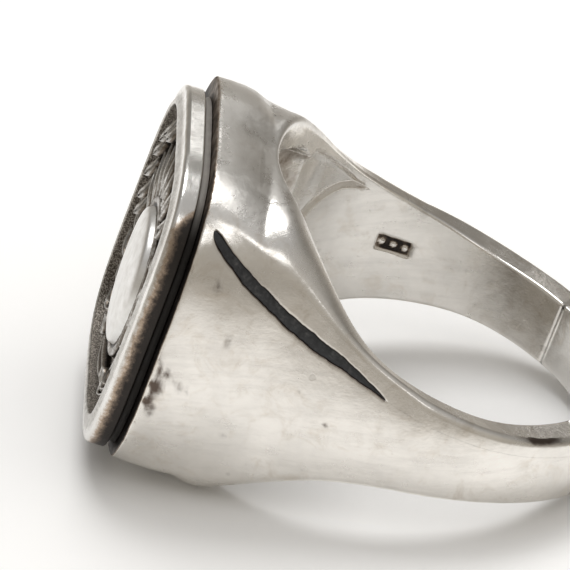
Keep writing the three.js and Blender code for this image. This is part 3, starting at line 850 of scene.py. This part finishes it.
class Nodes:
    """A material and short ways to add nodes to it."""

    def __init__(self, name):
        self.material = bpy.data.materials.new(name)
        self.material.use_nodes = True
        self.tree = self.material.node_tree
        self.shader = self.tree.nodes["Principled BSDF"]

    def add(self, kind, **inputs):
        """Adds a node and sets its inputs, or its properties where no input has the name."""
        node = self.tree.nodes.new(kind)
        for key, value in inputs.items():
            if key in node.inputs:
                self.put(node.inputs[key], value)
            else:
                setattr(node, key, value)
        return node

    def put(self, socket, value):
        if isinstance(value, bpy.types.NodeSocket):
            self.tree.links.new(value, socket)
        else:
            socket.default_value = value

    def attribute(self, name):
        return self.add("ShaderNodeAttribute", attribute_name=name).outputs["Fac"]

    def position(self, scale=(1, 1, 1), turn=(0, 0, 0)):
        where = self.add("ShaderNodeTexCoord").outputs["Object"]
        mapping = self.add("ShaderNodeMapping", Vector=where, Scale=scale, Rotation=turn)
        return mapping.outputs["Vector"]

    def noise(self, scale, detail, rough, stretch=(1, 1, 1), turn=(0, 0, 0), distort=0.0):
        node = self.add("ShaderNodeTexNoise", Vector=self.position(stretch, turn), Scale=scale,
                        Detail=detail, Roughness=rough, Distortion=distort)
        return node.outputs["Fac"]

    def ramp(self, value, *stops):
        return fill_ramp(self.add("ShaderNodeValToRGB", Fac=value), stops)

    def level(self, value, low, high, to_low=0.0, to_high=1.0):
        node = self.add("ShaderNodeMapRange", interpolation_type="SMOOTHSTEP", Value=value)
        for key, number in (("From Min", low), ("From Max", high), ("To Min", to_low),
                            ("To Max", to_high)):
            self.put(node.inputs[key], number)
        return node.outputs["Result"]

    def math(self, operation, a, b=0.5, clamp=False):
        node = self.add("ShaderNodeMath", operation=operation, use_clamp=clamp)
        self.put(node.inputs[0], a)
        self.put(node.inputs[1], b)
        return node.outputs["Value"]

    def sway(self, value, amount):
        """How far a noise is from its middle, times amount."""
        return self.math("MULTIPLY", self.math("SUBTRACT", value, 0.5), amount)

    def finish(self, colour, metallic, roughness, normal):
        """Connects the surface's values and gives the material."""
        for key, value in (("Base Color", colour), ("Metallic", metallic),
                           ("Roughness", roughness), ("Normal", normal)):
            self.put(self.shader.inputs[key], value)
        return self.material

    def mix(self, factor, a, b):
        node = self.add("ShaderNodeMix", data_type="RGBA", Factor=factor)
        colour = [s for s in node.inputs if s.type == "RGBA"]
        for socket, value in zip(colour, (a, b)):
            self.put(socket, (*value, 1) if isinstance(value, tuple) else value)
        return [s for s in node.outputs if s.type == "RGBA"][0]

    def bump(self, height, strength, distance, normal=None):
        node = self.add("ShaderNodeBump", Strength=strength, Distance=distance, Height=height)
        if normal is not None:
            self.put(node.inputs["Normal"], normal)
        return node.outputs["Normal"]


def scratches(n, seeds):
    """Sparse fine lines in two directions, 1 on a line."""
    lines = [n.level(n.noise(900, 1.0, 0.5, stretch, turn), cut, cut + 0.03)
             for turn, stretch, cut in seeds]
    return n.math("MAXIMUM", *lines)


def silver_material(name, tone=(0.90, 0.872, 0.826), rough=0.20):
    n = Nodes(name)
    cloud = n.noise(260, 5, 0.6)
    fine = n.noise(2600, 4, 0.6)
    mottled = n.noise(900, 6, 0.7, distort=0.4)
    blotches = n.noise(720, 6, 0.72, distort=0.8)
    specks = n.math("MULTIPLY", n.level(n.noise(1700, 3, 0.7), 0.68, 0.74),
                    n.level(n.noise(420, 3, 0.5), 0.52, 0.62))
    lines = scratches(n, [((0.2, 0.4, 0.3), (0.05, 1, 1), 0.76),
                          ((0.9, 0.1, 1.2), (0.04, 1, 1), 0.78)])
    satin, dirt = n.attribute("satin"), n.attribute("dirt")
    stain, groove = n.attribute("stain"), n.attribute("groove")
    # the darkening attribute turns the colour brown, then near black: grime together with painted
    # shade in the body's creases, hollows and under the plate
    ragged = n.math("ADD", dirt, n.sway(mottled, 0.9))
    dark = n.level(ragged, 0.35, 0.85)
    smudge = n.sway(blotches, n.level(stain, 0.05, 0.4, 0.0, 1.6))
    spotted = n.level(n.math("ADD", stain, smudge), 0.06, 0.95)
    colour = n.mix(n.level(cloud, 0.35, 0.7), tone, tuple(0.86 * c for c in tone))
    colour = n.mix(n.level(blotches, 0.48, 0.72, 0.0, 0.55), colour, (0.66, 0.60, 0.52))
    brushed = n.noise(520, 5, 0.75, stretch=(1.0, 0.35, 3.2))
    colour = n.mix(n.level(brushed, 0.42, 0.75, 0.0, 0.32), colour, (0.60, 0.575, 0.54))
    # the rougher-finish attribute also pulls the colour darker: painted shade on the side faces and
    # in the hollow
    colour = n.mix(n.math("MULTIPLY", satin, 0.75), colour, (0.66, 0.645, 0.615))
    colour = n.mix(n.math("MULTIPLY", specks, 0.35), colour, (0.36, 0.32, 0.28))
    colour = n.mix(n.math("MULTIPLY", lines, 0.25), colour, (0.42, 0.40, 0.37))
    colour = n.mix(spotted, colour, (0.11, 0.085, 0.07))
    colour = n.mix(n.level(groove, 0.1, 0.8), colour, (0.16, 0.13, 0.11))
    brown = n.mix(dark, colour, (0.30, 0.23, 0.17))
    colour = n.mix(n.level(ragged, 0.6, 1.0), brown, (0.035, 0.03, 0.028))
    base = n.level(mottled, 0.3, 0.75, rough - 0.04, rough + 0.10)
    base = n.math("ADD", base, n.level(brushed, 0.4, 0.7, -0.03, 0.05))
    roughness = n.math("ADD", base, n.math("MULTIPLY", satin, 0.11))
    roughness = n.math("ADD", roughness, n.math("MULTIPLY", dark, 0.3), clamp=True)
    height = n.math("ADD", n.math("MULTIPLY", fine, 0.25), n.math("MULTIPLY", mottled, 0.75))
    height = n.math("ADD", height, n.math("MULTIPLY", blotches, 0.8))
    normal = n.bump(height, 0.42, 0.00003)
    normal = n.bump(n.math("SUBTRACT", 1.0, lines), 0.25, 0.00001, normal)
    normal = n.bump(cloud, 0.4, 0.00008, normal)
    return n.finish(colour, 1.0, roughness, normal)


def plate_material():
    n = Nodes("plate_silver")
    mottled = n.noise(1400, 6, 0.7, distort=0.3)
    cloud = n.noise(300, 4, 0.6)
    grain = n.noise(5200, 4, 0.7)
    stipple = n.noise(13000, 3, 0.65)
    patina, dirt = n.attribute("patina"), n.attribute("dirt")
    uneven = n.math("ADD", n.sway(mottled, 0.5), n.sway(grain, 0.7))
    ragged = n.math("ADD", patina, n.math("MULTIPLY", uneven, n.level(patina, 0.02, 0.3)))
    colour = n.mix(n.level(cloud, 0.35, 0.7), (0.84, 0.83, 0.80), (0.74, 0.72, 0.69))
    colour = n.mix(n.level(mottled, 0.52, 0.72, 0.0, 0.4), colour, (0.60, 0.56, 0.50))
    ground = n.mix(n.level(stipple, 0.43, 0.62), (0.085, 0.072, 0.06), (0.42, 0.385, 0.34))
    soiled = n.math("ADD", dirt, n.math("MULTIPLY", uneven, 0.6))
    colour = n.mix(n.level(soiled, 0.3, 0.8), colour, ground)
    colour = n.mix(n.level(ragged, 0.08, 0.45), colour, (0.44, 0.35, 0.27))
    colour = n.mix(n.level(ragged, 0.36, 0.72), colour, (0.17, 0.135, 0.11))
    colour = n.mix(n.level(ragged, 0.6, 0.95), colour, (0.05, 0.045, 0.042))
    rough = n.math("ADD", n.level(mottled, 0.3, 0.75, 0.16, 0.26),
                   n.math("MULTIPLY", n.level(ragged, 0.2, 0.7), 0.28))
    rough = n.math("ADD", rough, n.math("MULTIPLY", dirt, 0.22), clamp=True)
    normal = n.bump(mottled, 0.3, 0.00003)
    normal = n.bump(n.math("MULTIPLY", stipple, dirt), 0.8, 0.00005, normal)
    return n.finish(colour, 1.0, rough, normal)


def relief_material(name, light, dull, rough=0.24):
    n = Nodes(name)
    mottled = n.noise(1700, 5, 0.65)
    grain = n.noise(6000, 3, 0.65)
    dirt = n.attribute("dirt")
    uneven = n.math("ADD", n.sway(mottled, 0.6), n.sway(grain, 0.4))
    ragged = n.math("ADD", dirt, uneven)
    colour = n.mix(n.level(mottled, 0.3, 0.7), light, dull)
    colour = n.mix(n.level(ragged, 0.2, 0.55), colour, (0.16, 0.135, 0.11))
    colour = n.mix(n.level(ragged, 0.6, 0.95), colour, (0.028, 0.024, 0.021))
    return n.finish(colour, 1.0, n.level(mottled, 0.3, 0.7, rough, rough + 0.12),
                    n.bump(n.math("ADD", mottled, grain), 0.3, 0.000014))


def oxide_material():
    n = Nodes("black_oxide")
    mottled = n.noise(1500, 5, 0.65)
    black = n.ramp(mottled, (0.3, (0.016, 0.0145, 0.013)), (0.75, (0.04, 0.036, 0.032)))
    dull = n.ramp(mottled, (0.3, (0.25, 0.235, 0.215)), (0.7, (0.36, 0.34, 0.31)))
    # painted light: worn mixes the black towards grey along the +Y side, where light falls into the
    # groove
    return n.finish(n.mix(n.attribute("worn"), black, dull), 0.3,
                    n.level(mottled, 0.3, 0.7, 0.5, 0.75), n.bump(mottled, 0.5, 0.00004))


def slate_material():
    n = Nodes("slate_fill")
    mottled = n.noise(1800, 6, 0.7)
    grains = n.noise(6000, 3, 0.6)
    mixed = n.math("ADD", n.math("MULTIPLY", mottled, 0.6), n.math("MULTIPLY", grains, 0.4))
    colour = n.ramp(mixed, (0.36, (0.018, 0.019, 0.021)), (0.52, (0.038, 0.04, 0.043)),
                    (0.68, (0.10, 0.10, 0.10)))
    return n.finish(colour, 0.25, n.level(mixed, 0.35, 0.65, 0.42, 0.62),
                    n.bump(mixed, 0.6, 0.00004))


# ------------------------------------------------------------------ pieces
silver = silver_material("worn_silver")
silver_back = silver_material("worn_silver_back", (0.90, 0.885, 0.855), 0.19)
plate_finish = plate_material()
relief = relief_material("crest_silver", (0.64, 0.625, 0.60), (0.50, 0.48, 0.45))
boss_finish = relief_material("boss_silver", (0.86, 0.855, 0.84), (0.76, 0.75, 0.725), 0.3)
oxide = oxide_material()
slate = slate_material()

PIECES = [
    (build_body(), "ring_body", silver, "silver_polished"),
    (build_back_section(), "shank_back_section", silver_back, "silver_polished"),
    (build_spacer(), "shadow_spacer", oxide, "silver_oxidised"),
    (build_plate(), "face_plate", plate_finish, "silver_polished"),
    (build_boss(), "shield_boss", boss_finish, "silver_polished"),
    (build_plume(), "plume", relief, "silver_relief"),
    (build_spray(1, "spray_right"), "leaf_spray_right", relief, "silver_relief"),
    (build_spray(-1, "spray_left"), "leaf_spray_left", relief, "silver_relief"),
    (build_scroll(), "scroll_ribbon", relief, "silver_relief"),
    (build_inlay(1, "inlay_right"), "shoulder_inlay_right", slate, "inlay_slate"),
    (build_inlay(-1, "inlay_left"), "shoulder_inlay_left", slate, "inlay_slate"),
]
for piece, node, material, slot in PIECES:
    piece.data.materials.append(material)
    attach(piece, "root")
    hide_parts(node)

# ------------------------------------------------------------------ floor, light, camera
floor_mesh = bpy.data.meshes.new("floor")
floor_mesh.from_pydata([(-2, -2, 0), (2, -2, 0), (2, 2, 0), (-2, 2, 0)], [], [(0, 1, 2, 3)])
floor = bpy.data.objects.new("floor", floor_mesh)
bpy.context.scene.collection.objects.link(floor)
n = Nodes("floor_white")
paper = n.ramp(n.noise(60, 3, 0.5), (0.3, (0.86, 0.86, 0.855)), (0.7, (0.88, 0.88, 0.875)))
spread = n.add("ShaderNodeVectorMath", operation="DISTANCE")
n.put(spread.inputs[0], n.position())
n.put(spread.inputs[1], (-0.03, 0.0, 0.0))
# painted shade: the floor's colour darkens between these distances from the ring, in metres,
# standing in for light that falls off
LIGHT_FLOOR, DARK_FLOOR = 0.045, 0.1
beyond = n.level(spread.outputs["Value"], LIGHT_FLOOR, DARK_FLOOR)
n.put(n.shader.inputs["Base Color"], n.mix(beyond, paper, (0.45, 0.415, 0.365)))
n.shader.inputs["Roughness"].default_value = 0.6
# painted light: the floor glows, less far from the ring and least where ambient occlusion finds the
# ring close, which paints a contact shadow
n.shader.inputs["Emission Color"].default_value = (1, 0.985, 0.965, 1)
open_sky = n.add("ShaderNodeAmbientOcclusion")
open_sky.inputs["Distance"].default_value = 0.024
lifted = n.math("MULTIPLY", n.math("POWER", open_sky.outputs["AO"], 2.2), 0.39)
near = n.level(spread.outputs["Value"], LIGHT_FLOOR, DARK_FLOOR, 1.0, 0.3)
n.put(n.shader.inputs["Emission Strength"], n.math("MULTIPLY", lifted, near))
floor.data.materials.append(n.material)

world = bpy.data.worlds.new("studio")
bpy.context.scene.world = world
world.use_nodes = True
wt = world.node_tree
coord = wt.nodes.new("ShaderNodeTexCoord")
split = wt.nodes.new("ShaderNodeSeparateXYZ")
wt.links.new(coord.outputs["Generated"], split.inputs[0])


def world_range(source, low, high):
    node = wt.nodes.new("ShaderNodeMapRange")
    node.inputs["From Min"].default_value = low
    node.inputs["From Max"].default_value = high
    wt.links.new(source, node.inputs["Value"])
    return node.outputs["Result"]


def world_ramp(stops):
    """Colour by height above the horizon, from straight down at 0 to straight up at 1."""
    ramp = wt.nodes.new("ShaderNodeValToRGB")
    wt.links.new(world_range(split.outputs["Z"], -1, 1), ramp.inputs["Fac"])
    return fill_ramp(ramp, stops)


behind = world_ramp([(0.47, (0.58, 0.545, 0.495)), (0.54, (0.46, 0.43, 0.39)),
                     (0.60, (0.27, 0.25, 0.22)), (0.68, (0.24, 0.222, 0.20)),
                     (0.76, (0.27, 0.26, 0.24)), (0.90, (0.38, 0.37, 0.36)),
                     (1.0, (0.55, 0.545, 0.54))])
before = world_ramp([(0.46, (0.38, 0.355, 0.315)), (0.60, (0.42, 0.39, 0.345)),
                     (0.76, (0.44, 0.415, 0.375)), (0.90, (0.48, 0.465, 0.45)),
                     (1.0, (0.55, 0.545, 0.54))])
blend = wt.nodes.new("ShaderNodeMix")
blend.data_type = "RGBA"
wt.links.new(world_range(split.outputs["X"], -0.35, 0.35), blend.inputs["Factor"])
colours = [socket for socket in blend.inputs if socket.type == "RGBA"]
wt.links.new(behind, colours[0])
wt.links.new(before, colours[1])
mixed = next(socket for socket in blend.outputs if socket.type == "RGBA")
wt.links.new(mixed, wt.nodes["Background"].inputs["Color"])
wt.nodes["Background"].inputs["Strength"].default_value = 1.0


LIGHT_DISTANCE = 0.6
LIGHT_TARGET = (0, 0, 0.006)


def softbox(name, azimuth, elevation, size, energy):
    """Rectangular light that faces the ring, in the direction given in degrees."""
    a, e = math.radians(azimuth), math.radians(elevation)
    place = (LIGHT_DISTANCE * math.cos(e) * math.cos(a),
             LIGHT_DISTANCE * math.cos(e) * math.sin(a), LIGHT_DISTANCE * math.sin(e))
    light = bpy.data.lights.new(name, "AREA")
    light.shape = "RECTANGLE"
    light.size, light.size_y = size
    light.energy = energy
    box = bpy.data.objects.new(name, light)
    box.location = place
    box.rotation_euler = (Vector(LIGHT_TARGET) - Vector(place)).to_track_quat("-Z", "Y").to_euler()
    box.visible_camera = False
    bpy.context.scene.collection.objects.link(box)


softbox("key", 180, 64, (0.36, 0.31), 1.5)
softbox("strip", 167, 24, (0.08, 0.08), 0.028)
softbox("front", 18, 50, (0.2, 0.18), 0.15)

# where the camera looks, in the ring's own frame; its distance and shifts in millimetres
VIEW = np.array([-0.8953, -0.4234, -0.1382])
UP = np.array([-0.4453, 0.8438, 0.2995])
VIEW /= np.linalg.norm(VIEW)
RIGHT = np.cross(VIEW, UP)
RIGHT /= np.linalg.norm(RIGHT)
UP = np.cross(RIGHT, VIEW)
DISTANCE = 519.3
SHIFT_LEFT, SHIFT_UP = 5.958, 2.923
camera_data = bpy.data.cameras.new("camera")
camera_data.lens = 685.6
camera_data.sensor_width = 36.0
camera_data.clip_start = 0.05
camera_data.clip_end = 20.0
camera = bpy.data.objects.new("camera", camera_data)
place = to_row(-DISTANCE * VIEW - SHIFT_LEFT * RIGHT + SHIFT_UP * UP)
turn = np.stack([RIGHT @ TO_ROW, UP @ TO_ROW, -VIEW @ TO_ROW], 1) * 1000
camera.matrix_world = Matrix([[*turn[0], place[0]], [*turn[1], place[1]], [*turn[2], place[2]],
                              [0, 0, 0, 1]])
bpy.context.scene.collection.objects.link(camera)
bpy.context.scene.camera = camera
bpy.context.scene.view_settings.view_transform = "Standard"

bpy.context.view_layer.update()
